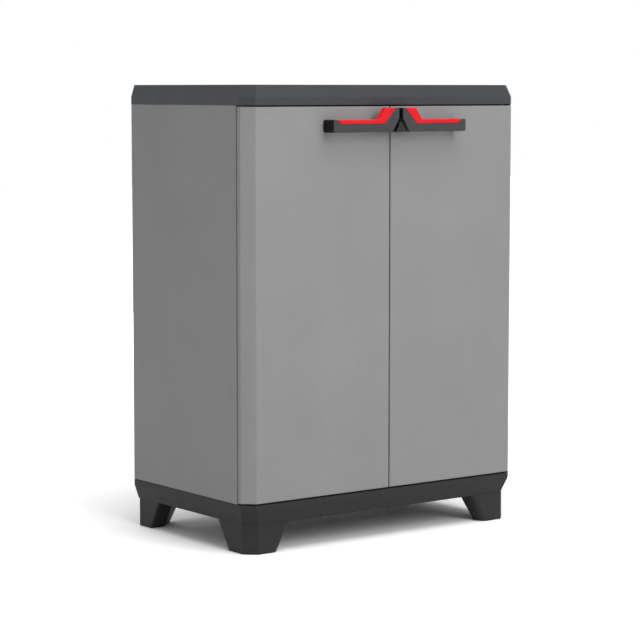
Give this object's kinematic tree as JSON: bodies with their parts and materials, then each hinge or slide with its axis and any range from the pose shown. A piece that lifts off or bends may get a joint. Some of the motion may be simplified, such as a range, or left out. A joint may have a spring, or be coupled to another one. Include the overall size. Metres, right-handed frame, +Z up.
{
  "type": "storage cabinet",
  "caption": "Low free-standing resin cabinet: grey panels between a dark top and footed base, hinged doors with grip handles and padlock ears, and a shelf inside.",
  "frame": {"origin": "on the floor, in the middle of the closed cabinet's box, handles included", "axes": "+Z up, -Y out of the doors, +X to the right as seen from the front"},
  "size_m": [0.68, 0.44, 0.9],
  "materials": {
    "light_grey_resin": "moulded resin, fine matt grain",
    "dark_grey_resin": "moulded resin, fine matt grain",
    "black_resin": "moulded resin, fine matt grain",
    "red_resin": "moulded resin, satin",
    "zinc_screw": "zinc-plated steel"
  },
  "bodies": {
    "carcass": {"base": "dark_grey_resin", "top_panel": "dark_grey_resin", "foot_front_left": "dark_grey_resin", "foot_front_right": "dark_grey_resin", "foot_back_left": "dark_grey_resin", "foot_back_right": "dark_grey_resin", "side_panel_left": "light_grey_resin", "side_panel_right": "light_grey_resin", "back_panel_left": "light_grey_resin", "back_panel_right": "light_grey_resin", "shelf": "light_grey_resin", "upper_hinge_pin_left": "dark_grey_resin", "upper_hinge_pin_right": "dark_grey_resin", "lower_hinge_pin_left": "dark_grey_resin", "lower_hinge_pin_right": "dark_grey_resin"},
    "left_door": {"door_left": "light_grey_resin", "handle_left": "black_resin", "handle_cover_left": "dark_grey_resin", "handle_accent_left": "red_resin", "padlock_ear_left": "dark_grey_resin", "handle_screws_left": "zinc_screw"},
    "right_door": {"door_right": "light_grey_resin", "handle_right": "black_resin", "handle_cover_right": "dark_grey_resin", "handle_accent_right": "red_resin", "padlock_ear_right": "dark_grey_resin", "handle_screws_right": "zinc_screw"}
  },
  "joints": [
    {"name": "left_door_hinge", "type": "hinge", "parent": "carcass", "child": "left_door", "pos_m": [-0.332, -0.1615, 0.48], "axis": [0, 0, -1], "range_deg": [0, 135]},
    {"name": "right_door_hinge", "type": "hinge", "parent": "carcass", "child": "right_door", "pos_m": [0.332, -0.1615, 0.48], "axis": [0, 0, 1], "range_deg": [0, 135]}
  ]
}
